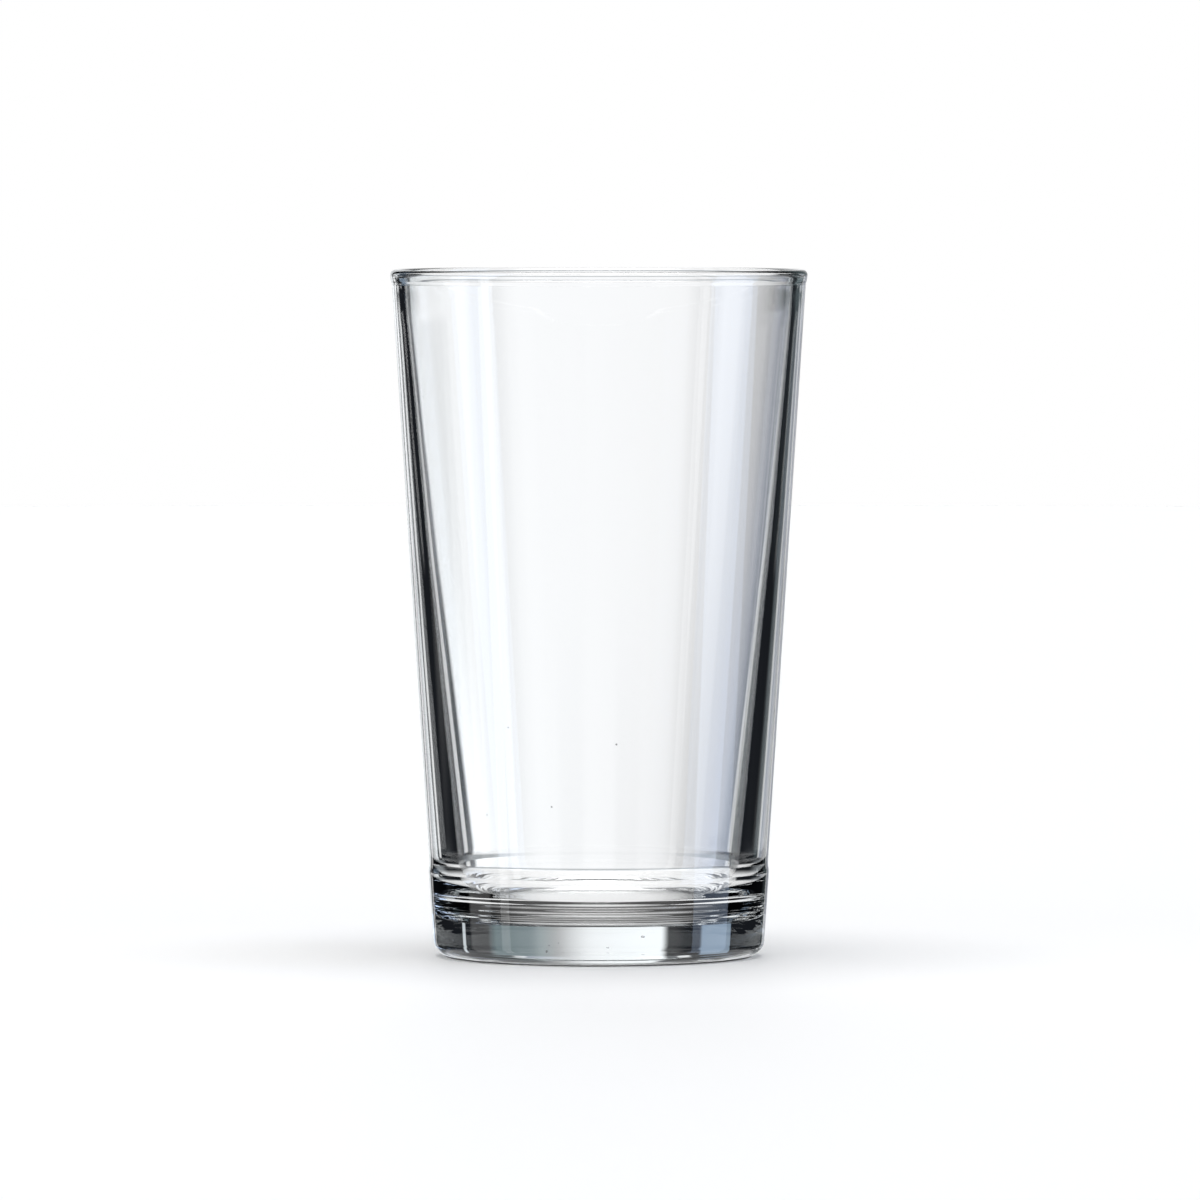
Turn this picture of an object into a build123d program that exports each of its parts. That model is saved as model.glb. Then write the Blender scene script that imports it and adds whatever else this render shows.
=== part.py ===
"""A conical pint glass: one piece of pressed and blown glass, 150 mm tall.

The glass stands on the XY plane with its axis on Z.  Its half section is one outline, listed as
(radius, height, corner rounding) from the middle of the underside, round the outside and over
the rim, down the inside to the middle of the floor.  Turning it about Z makes the glass.
All sizes are millimetres.
"""

import os

from build123d import *

# Overall
HEIGHT = 149.8
RIM_RADIUS = 45.75  # outside of the bead, where its line meets the top
TAPER = 0.065  # how far the outside leans out, per millimetre of height

# Base: a thick band below the parting line, a rounded heel and a shallow hollow underneath
BAND_HEIGHT = 18.4  # height of the parting line between base band and wall
BAND_RADIUS = 37.2  # outside of the band at the parting line
BAND_STEP = 0.36  # how far the band stands proud of the wall above it
STEP_HEIGHT = 1.7  # height over which that step runs out
HEEL_ROUNDING = 3.4
STANDING_RADIUS = 29.5  # inner edge of the ring that the glass stands on
HOLLOW_DEPTH = 1.2
HOLLOW_WIDTH = 9.0  # width over which the hollow rises from the standing ring

# Rim: a slightly proud bead with a rounded top
BEAD_HEIGHT = 2.5  # from the bead's lower edge to the top of the glass
BEAD_PROUD = 0.15  # how far the bead's lower edge stands out of the wall
BEAD_BLEND = 0.6  # height over which the wall runs out into the bead
RIM_WALL = 3.1  # thickness of glass at the rim
LIP_OUTSIDE = 1.2
LIP_INSIDE = 1.6

# Inside: a wall that thickens downwards, then a slope with rounded ends down to a flat floor
NECK_HEIGHT = 139.0  # below this the inside wall is straight
NECK_RADIUS = 42.0
WAIST_HEIGHT = 88.0  # the inside wall leans in a little more below this
WAIST_RADIUS = 37.5
SLOPE_TOP_HEIGHT = 14.6  # where the lines of the inside wall and the slope cross
SLOPE_TOP_RADIUS = 30.3
SLOPE_TOP_ROUNDING = 9.0
FLOOR_HEIGHT = 8.0  # thickness of glass at the floor, above the table
FLOOR_RADIUS = 23.0  # where the lines of the slope and the floor cross
FLOOR_ROUNDING = 10.0

# Roundings that only soften a change of slope
STEP_LOWER_ROUNDING = 0.8
STEP_UPPER_ROUNDING = 10.0
BEAD_LOWER_ROUNDING = 2.5
BEAD_UPPER_ROUNDING = 1.5
NECK_ROUNDING = 150.0
WAIST_ROUNDING = 1500.0
HOLLOW_ROUNDING = 25.0


def wall_radius(height):
    """Outside radius of the straight wall at a height."""
    return BAND_RADIUS - BAND_STEP + TAPER * (height - BAND_HEIGHT)


def underside():
    """The hollow under the base and the ring that the glass stands on."""
    return [
        (0.0, HOLLOW_DEPTH, None),
        (STANDING_RADIUS - HOLLOW_WIDTH, HOLLOW_DEPTH, HOLLOW_ROUNDING),
        (STANDING_RADIUS, 0.0, HEEL_ROUNDING),
    ]


def outside():
    """Heel, base band, parting line, wall and the outer half of the rim."""
    step_top = BAND_HEIGHT + STEP_HEIGHT
    bead = HEIGHT - BEAD_HEIGHT
    flare = bead - BEAD_BLEND
    return [
        (BAND_RADIUS - TAPER * BAND_HEIGHT, 0.0, HEEL_ROUNDING),
        (BAND_RADIUS, BAND_HEIGHT, STEP_LOWER_ROUNDING),
        (wall_radius(step_top), step_top, STEP_UPPER_ROUNDING),
        (wall_radius(flare), flare, BEAD_LOWER_ROUNDING),
        (wall_radius(bead) + BEAD_PROUD, bead, BEAD_UPPER_ROUNDING),
        (RIM_RADIUS, HEIGHT, LIP_OUTSIDE),
    ]


def inside():
    """The inner half of the rim, the inside wall, the slope and the floor."""
    return [
        (RIM_RADIUS - RIM_WALL, HEIGHT, LIP_INSIDE),
        (NECK_RADIUS, NECK_HEIGHT, NECK_ROUNDING),
        (WAIST_RADIUS, WAIST_HEIGHT, WAIST_ROUNDING),
        (SLOPE_TOP_RADIUS, SLOPE_TOP_HEIGHT, SLOPE_TOP_ROUNDING),
        (FLOOR_RADIUS, FLOOR_HEIGHT, FLOOR_ROUNDING),
        (0.0, FLOOR_HEIGHT, None),
    ]


def glass_solid():
    """The whole glass, turned about Z from its half section."""
    outline = underside() + outside() + inside()
    points = [(radius, height) for radius, height, _ in outline]
    roundings = [rounding for _, _, rounding in outline[1:-1]]
    with BuildPart() as glass:
        with BuildSketch(Plane.XZ):
            with BuildLine():
                FilletPolyline(*points, radius=roundings)
                Line(points[-1], points[0])
            make_face()
        revolve(axis=Axis.Z)
    return glass.part


os.makedirs("parts", exist_ok=True)
glass_body = glass_solid()
export_step(glass_body, "parts/glass_body.step")
print("glass volume, mm3:", round(glass_body.volume))
print("size, mm:", glass_body.bounding_box().size)
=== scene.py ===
"""A clear conical pint glass on a pale studio floor.

The glass is one finely turned mesh that stands for the CAD node glass_body.  It follows the same
half section, given here in millimetres, and its height comes from the CAD box.  Everything else is
the studio: a pale floor, the patch of table under the glass, which glows with painted light and
shade in place of what the glass throws on it, light panels painted on the sky by their direction,
and the camera.
"""

import math
import random

import bpy
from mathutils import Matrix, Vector


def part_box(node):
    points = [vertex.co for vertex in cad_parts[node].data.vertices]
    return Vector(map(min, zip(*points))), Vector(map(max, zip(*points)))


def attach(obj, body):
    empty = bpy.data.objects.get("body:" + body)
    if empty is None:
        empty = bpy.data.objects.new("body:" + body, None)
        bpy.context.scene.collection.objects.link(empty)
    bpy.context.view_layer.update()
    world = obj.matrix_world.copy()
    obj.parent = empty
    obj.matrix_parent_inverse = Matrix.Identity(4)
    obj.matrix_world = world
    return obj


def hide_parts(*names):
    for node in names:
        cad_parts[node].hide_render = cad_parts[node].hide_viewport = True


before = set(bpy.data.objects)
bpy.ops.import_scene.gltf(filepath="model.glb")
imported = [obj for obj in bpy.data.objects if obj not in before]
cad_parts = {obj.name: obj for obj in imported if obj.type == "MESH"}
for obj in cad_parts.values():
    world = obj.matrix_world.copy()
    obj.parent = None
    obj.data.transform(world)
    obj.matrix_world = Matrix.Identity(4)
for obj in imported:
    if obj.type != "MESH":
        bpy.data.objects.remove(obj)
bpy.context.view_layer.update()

MM = 0.001
NODE = "glass_body"
low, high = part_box(NODE)

# ---------------------------------------------------------------- half section, millimetres
HEIGHT = round((high.z - low.z) / MM, 1)
RIM_RADIUS = 45.75  # outside of the bead, where its line meets the top
TAPER = 0.065  # how far the outside leans out, per millimetre of height

BAND_HEIGHT = 18.4  # height of the parting line between base band and wall
BAND_RADIUS = 37.2
BAND_STEP = 0.36  # how far the band stands proud of the wall above it
STEP_HEIGHT = 1.7
HEEL_ROUNDING = 3.4  # on both edges of the ring that the glass stands on
STANDING_RADIUS = 29.5  # where the hollow underneath meets that ring
HOLLOW_DEPTH = 1.2
HOLLOW_WIDTH = 9.0

BEAD_HEIGHT = 2.5  # from the bead's lower edge to the top of the glass
BEAD_PROUD = 0.15
BEAD_BLEND = 0.6
RIM_WALL = 3.1  # thickness of glass at the rim
LIP_OUTSIDE = 1.2
LIP_INSIDE = 1.6

NECK_HEIGHT = 139.0  # the inside wall leans in evenly from here down to the waist
NECK_RADIUS = 42.0
WAIST_HEIGHT = 88.0  # and a little more from here down to the slope
WAIST_RADIUS = 37.5
SLOPE_TOP_HEIGHT = 14.6  # where the lines of the inside wall and the slope cross
SLOPE_TOP_RADIUS = 30.3
SLOPE_TOP_ROUNDING = 9.0
FLOOR_HEIGHT = 8.0
FLOOR_RADIUS = 23.0  # where the lines of the slope and the floor cross
FLOOR_ROUNDING = 10.0

# Roundings that only soften a change of slope
STEP_LOWER_ROUNDING = 0.8
STEP_UPPER_ROUNDING = 10.0
BEAD_LOWER_ROUNDING = 2.5
BEAD_UPPER_ROUNDING = 1.5
NECK_ROUNDING = 150.0
WAIST_ROUNDING = 1500.0
HOLLOW_ROUNDING = 25.0

# Fineness of the mesh
TURN_STEPS = 360  # faces round the glass
LONG_STEP = 7.0  # longest piece of the outline where it is straight
RING_STEP = 0.22  # and where the pressing rings are

# Fine rings that pressing leaves round the edge of the inside floor
RING_PITCH = 1.7
RING_HEIGHT = 0.09
RING_FROM = 19.0  # radii between which they lie
RING_TO = 31.0
RING_TOP = 17.0
RING_BELOW = 0.1  # how far below the inside floor still counts as the floor

# Seeds: tiny bubbles left in the glass
SEEDS = 16
SEED_START = 11
SEED_SIZES = (0.10, 0.22)
SEED_RINGS = 6
SEED_STEPS = 10
WALL_SEED_EVERY = 3  # one seed in this many is in the wall, the others are in the base
BASE_SEED_HEIGHTS = (3.0, 5.5)
BASE_SEED_RADII = (8.0, 31.0)
WALL_SEED_HEIGHTS = (24.0, 84.0)


def wall_radius(height):
    """Outside radius of the straight wall at a height."""
    return BAND_RADIUS - BAND_STEP + TAPER * (height - BAND_HEIGHT)


def half_section():
    """Corners of the half section as (radius, height, rounding, steps in the rounding)."""
    step_top = BAND_HEIGHT + STEP_HEIGHT
    bead = HEIGHT - BEAD_HEIGHT
    flare = bead - BEAD_BLEND
    return [
        (0.0, HOLLOW_DEPTH, 0.0, 1),
        (STANDING_RADIUS - HOLLOW_WIDTH, HOLLOW_DEPTH, HOLLOW_ROUNDING, 6),
        (STANDING_RADIUS, 0.0, HEEL_ROUNDING, 4),
        (BAND_RADIUS - TAPER * BAND_HEIGHT, 0.0, HEEL_ROUNDING, 18),
        (BAND_RADIUS, BAND_HEIGHT, STEP_LOWER_ROUNDING, 6),
        (wall_radius(step_top), step_top, STEP_UPPER_ROUNDING, 16),
        (wall_radius(flare), flare, BEAD_LOWER_ROUNDING, 6),
        (wall_radius(bead) + BEAD_PROUD, bead, BEAD_UPPER_ROUNDING, 6),
        (RIM_RADIUS, HEIGHT, LIP_OUTSIDE, 12),
        (RIM_RADIUS - RIM_WALL, HEIGHT, LIP_INSIDE, 14),
        (NECK_RADIUS, NECK_HEIGHT, NECK_ROUNDING, 8),
        (WAIST_RADIUS, WAIST_HEIGHT, WAIST_ROUNDING, 8),
        (SLOPE_TOP_RADIUS, SLOPE_TOP_HEIGHT, SLOPE_TOP_ROUNDING, 20),
        (FLOOR_RADIUS, FLOOR_HEIGHT, FLOOR_ROUNDING, 28),
        (0.0, FLOOR_HEIGHT, 0.0, 1),
    ]


def rounded(corners):
    """The outline with each corner replaced by points along its arc."""
    line = []
    for i, (radius, height, rounding, steps) in enumerate(corners):
        here = Vector((radius, height))
        if rounding == 0.0:
            line.append(here)
            continue
        back = (Vector(corners[i - 1][:2]) - here).normalized()
        ahead = (Vector(corners[i + 1][:2]) - here).normalized()
        half = back.angle(ahead) / 2
        centre = here + (back + ahead).normalized() * rounding / math.sin(half)
        start = here + back * rounding / math.tan(half) - centre
        swing = (here + ahead * rounding / math.tan(half) - centre).angle_signed(start)
        for k in range(steps + 1):
            turn = swing * k / steps
            line.append(centre + Vector((
                start.x * math.cos(turn) - start.y * math.sin(turn),
                start.x * math.sin(turn) + start.y * math.cos(turn),
            )))
    return line


def in_rings(point):
    """Whether a point of the outline lies on the ringed edge of the inside floor."""
    return RING_FROM < point.x < RING_TO and FLOOR_HEIGHT - RING_BELOW < point.y < RING_TOP


def filled(line):
    """The outline with its long straight runs divided."""
    points = [line[0]]
    for a, b in zip(line, line[1:]):
        longest = RING_STEP if in_rings((a + b) / 2) else LONG_STEP
        parts = max(1, math.ceil((b - a).length / longest))
        points += [a.lerp(b, k / parts) for k in range(1, parts + 1)]
    return points


def ringed(line):
    """The outline with the shallow waves of the pressing rings."""
    moved = []
    run = 0.0
    for k, point in enumerate(line):
        if k:
            run += (point - line[k - 1]).length
        if not in_rings(point):
            moved.append(point)
            continue
        along = (line[k + 1] - line[k - 1]).normalized()
        share = (point.x - RING_FROM) / (RING_TO - RING_FROM)
        swell = RING_HEIGHT * math.sin(math.pi * share) ** 2
        wave = swell * math.sin(2 * math.pi * run / RING_PITCH)
        moved.append(point + Vector((-along.y, along.x)) * wave)
    return moved


def wall_middle(height):
    """Radius of the middle of the wall at a height below the waist."""
    share = (height - SLOPE_TOP_HEIGHT) / (WAIST_HEIGHT - SLOPE_TOP_HEIGHT)
    inner = SLOPE_TOP_RADIUS + (WAIST_RADIUS - SLOPE_TOP_RADIUS) * share
    return (inner + wall_radius(height)) / 2


def seed_places():
    """Centres and radii of the seeds."""
    rng = random.Random(SEED_START)
    places = []
    for k in range(SEEDS):
        turn = rng.uniform(0, 2 * math.pi)
        if k % WALL_SEED_EVERY:
            height = rng.uniform(*BASE_SEED_HEIGHTS)
            radius = rng.uniform(*BASE_SEED_RADII)
        else:
            height = rng.uniform(*WALL_SEED_HEIGHTS)
            radius = wall_middle(height)
        centre = Vector((radius * math.cos(turn), radius * math.sin(turn), height))
        places.append((centre, rng.uniform(*SEED_SIZES)))
    return places


def add_seed(verts, faces, centre, size):
    """A small sphere whose faces look inwards, as the skin of a bubble does."""
    first = len(verts)
    for r in range(1, SEED_RINGS):
        tilt = math.pi * r / SEED_RINGS
        for k in range(SEED_STEPS):
            turn = 2 * math.pi * k / SEED_STEPS
            verts.append((centre + size * Vector((
                math.sin(tilt) * math.cos(turn), math.sin(tilt) * math.sin(turn), math.cos(tilt)))) * MM)
    top = len(verts)
    verts.append((centre + Vector((0, 0, size))) * MM)
    verts.append((centre - Vector((0, 0, size))) * MM)
    last = first + (SEED_RINGS - 2) * SEED_STEPS
    for k in range(SEED_STEPS):
        n = (k + 1) % SEED_STEPS
        faces.append((top, first + n, first + k))
        faces.append((top + 1, last + k, last + n))
        for a in range(first, last, SEED_STEPS):
            b = a + SEED_STEPS
            faces.append((a + k, a + n, b + n, b + k))


def turned(name, section, steps):
    """A closed mesh made by turning a half section, in millimetres, about Z, with its seeds."""
    rings = section[1:-1]
    verts = [(0, 0, section[0].y * MM), (0, 0, section[-1].y * MM)]
    for point in rings:
        for k in range(steps):
            angle = 2 * math.pi * k / steps
            verts.append((point.x * MM * math.cos(angle), point.x * MM * math.sin(angle), point.y * MM))
    faces = []
    for r in range(len(rings) - 1):
        a = 2 + r * steps
        b = a + steps
        for k in range(steps):
            n = (k + 1) % steps
            faces.append((a + k, a + n, b + n, b + k))
    last = 2 + (len(rings) - 1) * steps
    for k in range(steps):
        n = (k + 1) % steps
        faces.append((0, 2 + n, 2 + k))
        faces.append((1, last + k, last + n))
    for centre, size in seed_places():
        add_seed(verts, faces, centre, size)
    mesh = bpy.data.meshes.new(name)
    mesh.from_pydata(verts, [], faces)
    mesh.validate()
    for face in mesh.polygons:
        face.use_smooth = True
    obj = bpy.data.objects.new(name, mesh)
    bpy.context.scene.collection.objects.link(obj)
    return obj


# ---------------------------------------------------------------- glass
GLASS_IOR = 1.52
THICK_COLOUR = (0.78, 0.88, 0.90, 1)  # what a long way through the glass does to white light
THICK_DENSITY = 4.0
WAVE_SCALE = 22.0  # slow unevenness of the pressed and fire-polished surface, per metre
WAVE_STRETCH = 0.6
WAVE_DEPTH = 0.00006
DRAW_SCALE = 260.0  # fine upright lines from the mould
DRAW_STRETCH = 0.02
DRAW_DEPTH = 0.000004
NOISE_DETAIL = 2.0


def noise(tree, place, scale, stretch):
    """Noise on the object, stretched along the axis of the glass."""
    mapping = tree.nodes.new("ShaderNodeMapping")
    mapping.inputs["Scale"].default_value = (scale, scale, scale * stretch)
    tree.links.new(place, mapping.inputs["Vector"])
    node = tree.nodes.new("ShaderNodeTexNoise")
    node.inputs["Scale"].default_value = 1.0
    node.inputs["Detail"].default_value = NOISE_DETAIL
    tree.links.new(mapping.outputs["Vector"], node.inputs["Vector"])
    return node.outputs["Fac"]


def bump(tree, height, distance, below=None):
    """A Bump node, over an earlier one if there is one."""
    node = tree.nodes.new("ShaderNodeBump")
    node.inputs["Distance"].default_value = distance
    tree.links.new(height, node.inputs["Height"])
    if below:
        tree.links.new(below, node.inputs["Normal"])
    return node.outputs["Normal"]


def glass_material():
    """Clear polished glass, a little uneven, faintly cool where it is thick."""
    material = bpy.data.materials.new("clear_glass")
    material.use_nodes = True
    tree = material.node_tree
    shader = tree.nodes["Principled BSDF"]
    shader.inputs["Base Color"].default_value = (1, 1, 1, 1)
    shader.inputs["Transmission Weight"].default_value = 1.0
    shader.inputs["IOR"].default_value = GLASS_IOR
    shader.inputs["Roughness"].default_value = 0.0
    place = tree.nodes.new("ShaderNodeTexCoord").outputs["Object"]
    waves = bump(tree, noise(tree, place, WAVE_SCALE, WAVE_STRETCH), WAVE_DEPTH)
    lines = bump(tree, noise(tree, place, DRAW_SCALE, DRAW_STRETCH), DRAW_DEPTH, waves)
    tree.links.new(lines, shader.inputs["Normal"])
    absorb = tree.nodes.new("ShaderNodeVolumeAbsorption")
    absorb.inputs["Color"].default_value = THICK_COLOUR
    absorb.inputs["Density"].default_value = THICK_DENSITY
    tree.links.new(absorb.outputs["Volume"], tree.nodes["Material Output"].inputs["Volume"])
    return material


glass = turned("glass", ringed(filled(rounded(half_section()))), TURN_STEPS)
glass.data.materials.append(glass_material())
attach(glass, "root")
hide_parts(NODE)

# ---------------------------------------------------------------- light
WHITE = (1.0, 1.0, 1.0)
CLEAN = (0.96, 0.985, 1.0)
PALE = (0.985, 0.99, 1.0)
COOL = (0.9, 0.96, 1.0)
TEAL = (0.74, 0.95, 1.0)
LAVENDER = (0.8, 0.84, 1.0)
LILAC = (0.6, 0.74, 1.0)
SLATE = (0.6, 0.78, 1.0)

# Light panels by their direction from the glass, in degrees: azimuth from and to, the widths over
# which it fades in and out, elevation from and to, its fades, light, colour.  Azimuth 0 is straight
# behind the glass, seen from the camera, and 90 is to its right.
PANELS = [
    # the pale backdrop, cooler on the left, and the dimmer sweep below it
    ((-17.5, 6.0), (2.5, 18.0), (-15.0, 55.0), (2.5, 10.0), 1.055, CLEAN),
    ((-12.0, 18.4), (18.0, 18.5), (-15.0, 55.0), (2.5, 10.0), 0.93, PALE),
    ((-32.0, 34.0), (18.0, 28.0), (-23.0, -12.5), (1.0, 2.5), 0.42, COOL),
    # seen in the left wall: its thin lines, its bright streak and its inner edge
    ((-25.5, -15.0), (2.0, 2.0), (-12.0, -0.5), (2.0, 1.0), 0.12, COOL),
    ((-24.5, -19.5), (1.2, 1.2), (-12.0, -0.5), (2.0, 1.0), 0.85, WHITE),
    ((-17.5, -7.0), (2.5, 7.0), (-12.0, -0.5), (2.0, 1.0), 0.28, COOL),
    # seen in the right wall: its inner edge, its bright streak and its outer part
    ((5.0, 21.0), (9.0, 4.0), (-12.0, -0.5), (2.0, 1.0), 0.37, LAVENDER),
    ((17.5, 23.0), (1.5, 2.0), (-12.0, -0.5), (2.0, 1.0), 0.6, WHITE),
    ((9.0, 31.5), (6.0, 4.0), (-12.0, 0.5), (3.0, 2.0), 0.08, TEAL),
    # seen in the base, which swaps the sides: its right patch, its left patch and the line beside it
    ((-41.5, -27.0), (0.6, 1.5), (-1.5, 30.0), (2.0, 10.0), 0.385, SLATE),
    ((9.0, 31.5), (6.0, 4.0), (-1.5, 30.0), (2.0, 10.0), 0.22, TEAL),
    ((41.9, 44.3), (0.6, 0.6), (-1.5, 30.0), (2.0, 10.0), 0.7, COOL),
    # the softbox on the right and the weaker panels on the left
    ((79.5, 112.0), (1.0, 1.0), (-30.0, 38.0), (2.0, 2.0), 1.8, LILAC),
    ((-116.0, -108.0), (1.0, 1.0), (-30.0, 38.0), (2.0, 2.0), 1.5, WHITE),
    ((-102.0, -78.0), (4.0, 4.0), (-30.0, 38.0), (2.0, 2.0), 1.05, WHITE),
    ((-82.0, -50.0), (4.0, 8.0), (-7.5, 0.0), (3.0, 1.5), 0.95, WHITE),
    # low panels and an even fill on the camera's side
    ((117.0, 153.0), (6.0, 6.0), (-30.0, -15.0), (4.0, 2.0), 1.0, WHITE),
    ((-153.0, -117.0), (6.0, 6.0), (-30.0, -15.0), (4.0, 2.0), 1.0, WHITE),
    ((165.0, 181.0), (6.0, 0.5), (-30.0, -15.0), (4.0, 2.0), 1.0, WHITE),
    ((-181.0, -165.0), (0.5, 6.0), (-30.0, -15.0), (4.0, 2.0), 1.0, WHITE),
    ((113.0, 181.0), (18.0, 0.5), (-17.0, 55.0), (2.0, 10.0), 0.95, WHITE),
    ((-181.0, -108.0), (0.5, 22.0), (-17.0, 55.0), (2.0, 10.0), 0.95, WHITE),
]
NIGHT = (0.7, 0.8, 1.0)  # what is left of the light between the panels
NIGHT_LIGHT = 0.014
OVERHEAD_ELEVATION = 62.0
OVERHEAD_FADE = 6.0
OVERHEAD_LIGHT = 4.8
TABLE_ELEVATION = -17.0  # below this the glass sees the pale table round it
TABLE_FADE = 6.0
TABLE_LIGHT = 0.95
DEGREES = 180.0 / math.pi


def math_node(tree, operation, *values):
    """A Math node whose inputs are numbers or other nodes' outputs; returns its output."""
    node = tree.nodes.new("ShaderNodeMath")
    node.operation = operation
    for k, value in enumerate(values):
        if isinstance(value, (int, float)):
            node.inputs[k].default_value = value
        else:
            tree.links.new(value, node.inputs[k])
    return node.outputs["Value"]


def ramp(tree, value, start, end, first=0.0, last=1.0):
    """A smooth step of a value from one level to another; start is below end."""
    node = tree.nodes.new("ShaderNodeMapRange")
    node.interpolation_type = "SMOOTHSTEP"
    node.inputs["From Min"].default_value = start
    node.inputs["From Max"].default_value = end
    node.inputs["To Min"].default_value = first
    node.inputs["To Max"].default_value = last
    tree.links.new(value, node.inputs["Value"])
    return node.outputs["Result"]


def band(tree, value, limits, fades):
    """1 between two limits, fading to 0 over the given widths inside them."""
    start, end = limits
    rise = ramp(tree, value, start, start + fades[0])
    fall = ramp(tree, value, end - fades[1], end, 1.0, 0.0)
    return math_node(tree, "MULTIPLY", rise, fall)


def light(tree, colour, strength):
    """A Background node whose strength is a number or another node's output."""
    glow = tree.nodes.new("ShaderNodeBackground")
    glow.inputs["Color"].default_value = (*colour, 1)
    if isinstance(strength, float):
        glow.inputs["Strength"].default_value = strength
    else:
        tree.links.new(strength, glow.inputs["Strength"])
    return glow.outputs["Background"]


def added(tree, one, other):
    """Two lights together."""
    node = tree.nodes.new("ShaderNodeAddShader")
    tree.links.new(one, node.inputs[0])
    tree.links.new(other, node.inputs[1])
    return node.outputs["Shader"]


def studio_world():
    """Light from every side: what the camera sees directly is plain white."""
    world = bpy.data.worlds.new("studio")
    world.use_nodes = True
    tree = world.node_tree
    tree.nodes.clear()
    place = tree.nodes.new("ShaderNodeTexCoord")
    split = tree.nodes.new("ShaderNodeSeparateXYZ")
    tree.links.new(place.outputs["Generated"], split.inputs["Vector"])
    azimuth = math_node(tree, "ARCTAN2", split.outputs["X"], split.outputs["Y"])
    azimuth = math_node(tree, "MULTIPLY", azimuth, DEGREES)
    elevation = math_node(tree, "ARCSINE", split.outputs["Z"])
    elevation = math_node(tree, "MULTIPLY", elevation, DEGREES)

    total = light(tree, NIGHT, NIGHT_LIGHT)
    for across_limits, across_fades, up_limits, up_fades, strength, colour in PANELS:
        across = band(tree, azimuth, across_limits, across_fades)
        up = band(tree, elevation, up_limits, up_fades)
        share = math_node(tree, "MULTIPLY", across, up)
        panel = light(tree, colour, math_node(tree, "MULTIPLY", share, strength))
        total = added(tree, total, panel)
    overhead_end = OVERHEAD_ELEVATION + OVERHEAD_FADE
    overhead = ramp(tree, elevation, OVERHEAD_ELEVATION, overhead_end, 0.0, OVERHEAD_LIGHT)
    total = added(tree, total, light(tree, WHITE, overhead))
    table_start = TABLE_ELEVATION - TABLE_FADE
    table_round = ramp(tree, elevation, table_start, TABLE_ELEVATION, TABLE_LIGHT, 0.0)
    total = added(tree, total, light(tree, WHITE, table_round))

    path = tree.nodes.new("ShaderNodeLightPath")
    choice = tree.nodes.new("ShaderNodeMixShader")
    tree.links.new(path.outputs["Is Camera Ray"], choice.inputs["Fac"])
    tree.links.new(total, choice.inputs[1])
    tree.links.new(light(tree, WHITE, 1.0), choice.inputs[2])
    out = tree.nodes.new("ShaderNodeOutputWorld")
    tree.links.new(choice.outputs["Shader"], out.inputs["Surface"])
    return world


bpy.context.scene.world = studio_world()

# ---------------------------------------------------------------- floor and table, metres
FLOOR_EXTENT = 3.0
FLOOR_DROP = 0.0002  # how far the floor lies below the glass, so that they don't touch
FLOOR_COLOUR = (0.9, 0.9, 0.9, 1)
FLOOR_ROUGHNESS = 0.6
TABLE_RADIUS = 0.0335  # the patch of table that the glass stands over
TABLE_DROP = 0.0001
# Painted light and shade: the table patch glows brightly under the middle of the glass and dimly at its
# edge, in place of the light and shade that the glass throws on it.
TABLE_CENTRE_PAINTED_LIGHT = 0.85  # painted glow under the middle of the glass
TABLE_EDGE_PAINTED_LIGHT = 0.04
TABLE_FADE_FROM = 0.01  # radii between which it falls from one to the other
TABLE_FADE_TO = 0.032
DISC_STEPS = 96


def disc(name, radius, height, material):
    """A flat round piece of the studio, facing up."""
    verts = []
    for k in range(DISC_STEPS):
        turn = 2 * math.pi * k / DISC_STEPS
        verts.append((radius * math.cos(turn), radius * math.sin(turn), height))
    mesh = bpy.data.meshes.new(name)
    mesh.from_pydata(verts, [], [tuple(range(DISC_STEPS))])
    mesh.materials.append(material)
    obj = bpy.data.objects.new(name, mesh)
    bpy.context.scene.collection.objects.link(obj)
    return obj


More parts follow.
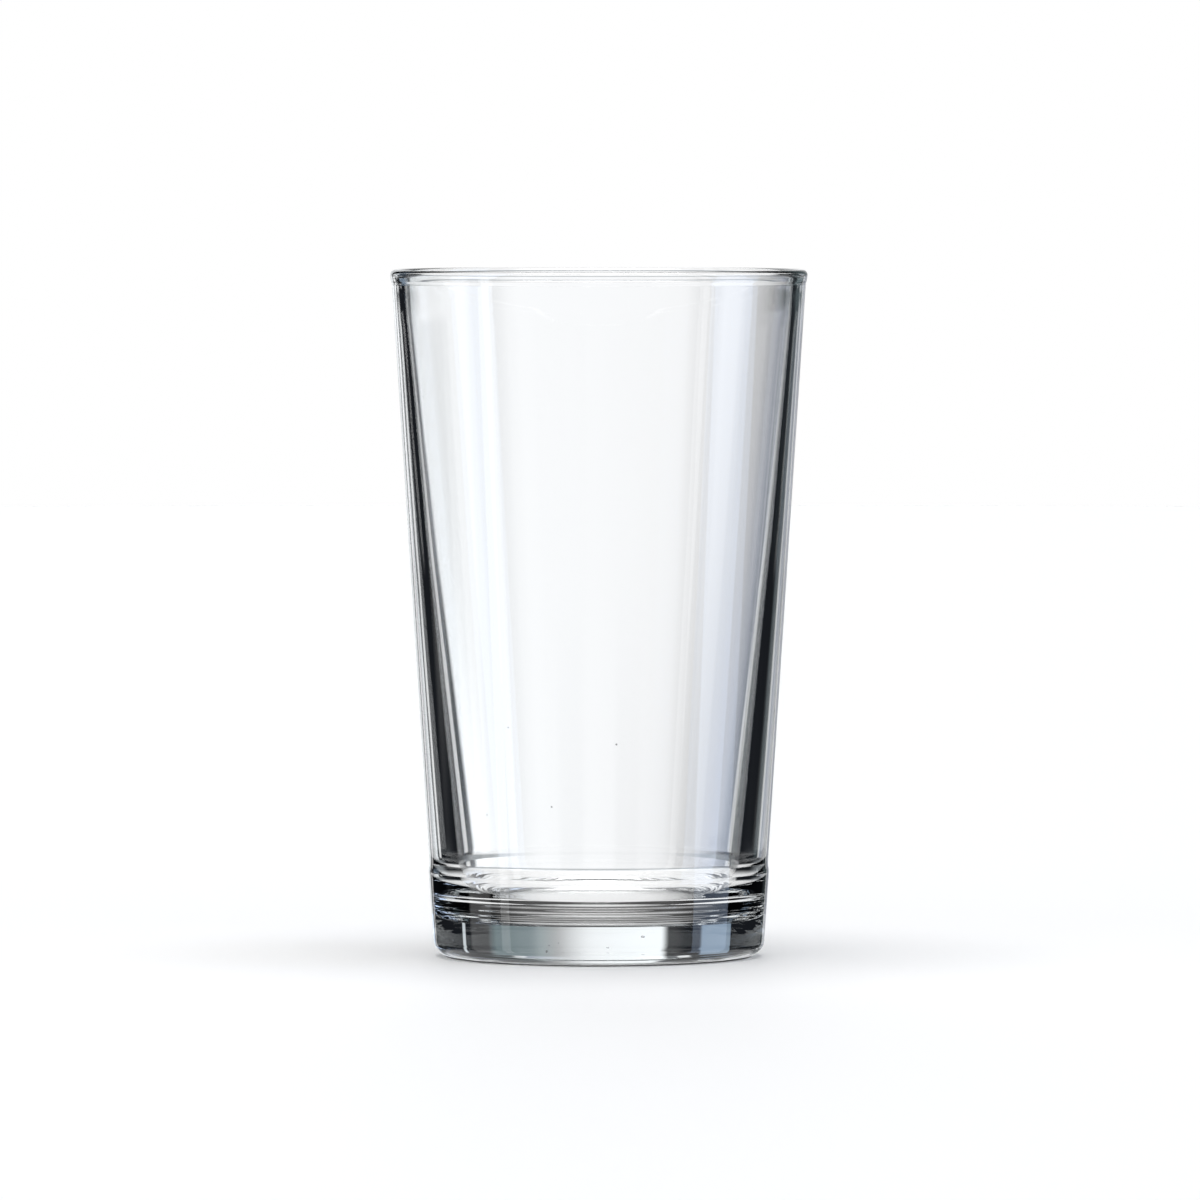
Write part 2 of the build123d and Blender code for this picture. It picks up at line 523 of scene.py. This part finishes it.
def floor_material():
    """Pale matt studio floor."""
    material = bpy.data.materials.new("floor")
    material.use_nodes = True
    shader = material.node_tree.nodes["Principled BSDF"]
    shader.inputs["Base Color"].default_value = FLOOR_COLOUR
    shader.inputs["Roughness"].default_value = FLOOR_ROUGHNESS
    return material


def table_painted_light_material():
    """The patch of table under the glass, glowing with painted light and shade in place of what the
    glass throws on it.
    """
    material = bpy.data.materials.new("table")
    material.use_nodes = True
    tree = material.node_tree
    tree.nodes.remove(tree.nodes["Principled BSDF"])
    place = tree.nodes.new("ShaderNodeTexCoord")
    length = tree.nodes.new("ShaderNodeVectorMath")
    length.operation = "LENGTH"
    tree.links.new(place.outputs["Object"], length.inputs[0])
    glow = tree.nodes.new("ShaderNodeEmission")
    distance = length.outputs["Value"]
    fade = ramp(tree, distance, TABLE_FADE_FROM, TABLE_FADE_TO, TABLE_CENTRE_PAINTED_LIGHT, TABLE_EDGE_PAINTED_LIGHT)
    tree.links.new(fade, glow.inputs["Strength"])
    tree.links.new(glow.outputs["Emission"], tree.nodes["Material Output"].inputs["Surface"])
    return material


# A glowing disc of painted light and shade on the table under the glass.
disc("table", TABLE_RADIUS, -TABLE_DROP, table_painted_light_material())
floor = disc("floor", FLOOR_EXTENT, -FLOOR_DROP, floor_material())
floor.visible_transmission = False
floor.visible_glossy = False

# ---------------------------------------------------------------- camera, metres
DISTANCE = 2.52
CAMERA_HEIGHT = 0.181
AIM_HEIGHT = 0.0776
CAMERA_SIDE = 0.00025
FRAME_WIDTH = 0.2621  # width of the view at the glass
SENSOR = 36.0  # in millimetres, as the lens is

camera_data = bpy.data.cameras.new("camera")
camera_data.sensor_width = SENSOR
camera_data.lens = SENSOR * math.hypot(DISTANCE, CAMERA_HEIGHT - AIM_HEIGHT) / FRAME_WIDTH
camera = bpy.data.objects.new("camera", camera_data)
bpy.context.scene.collection.objects.link(camera)
bpy.context.scene.camera = camera
camera.location = (CAMERA_SIDE, -DISTANCE, CAMERA_HEIGHT)
camera.rotation_euler = (math.pi / 2 - math.atan((CAMERA_HEIGHT - AIM_HEIGHT) / DISTANCE), 0, 0)
bpy.context.scene.view_settings.view_transform = "Standard"
